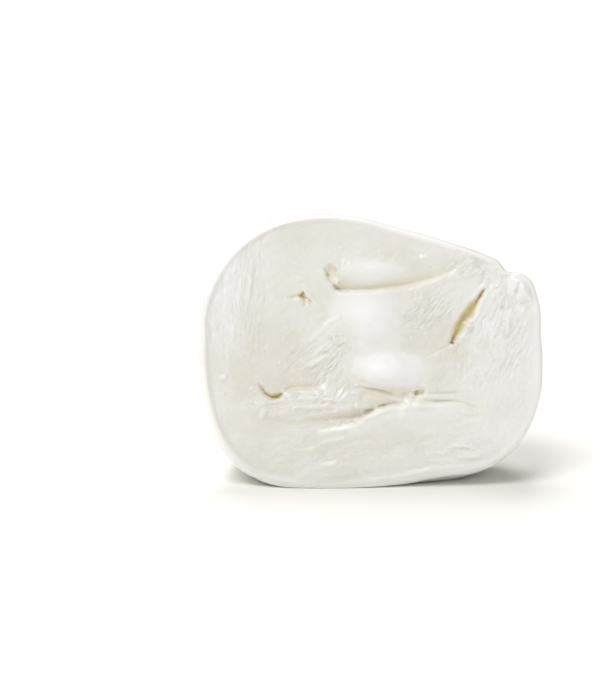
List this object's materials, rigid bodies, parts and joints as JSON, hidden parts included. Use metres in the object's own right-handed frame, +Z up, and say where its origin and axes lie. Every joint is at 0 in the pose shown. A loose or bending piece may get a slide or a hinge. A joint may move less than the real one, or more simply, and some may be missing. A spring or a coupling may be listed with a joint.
{
  "type": "halved burrata",
  "caption": "Half of a fresh stretched-curd cheese ball, cut lengthwise through its knot, with layered curd and a cream filling showing on the cut face.",
  "frame": {"origin": "on the table, under the middle of the bounding box", "axes": "+Z up, the cut face looks to -Y and leans back 10 degrees, +X to the right along the half's length, towards the knot"},
  "size_m": [0.0858, 0.0442, 0.0664],
  "materials": {
    "curd": "satin, moist",
    "cream": "wet, glossy"
  },
  "bodies": {
    "root": {"curd": "curd", "cream": "cream"}
  },
  "joints": []
}
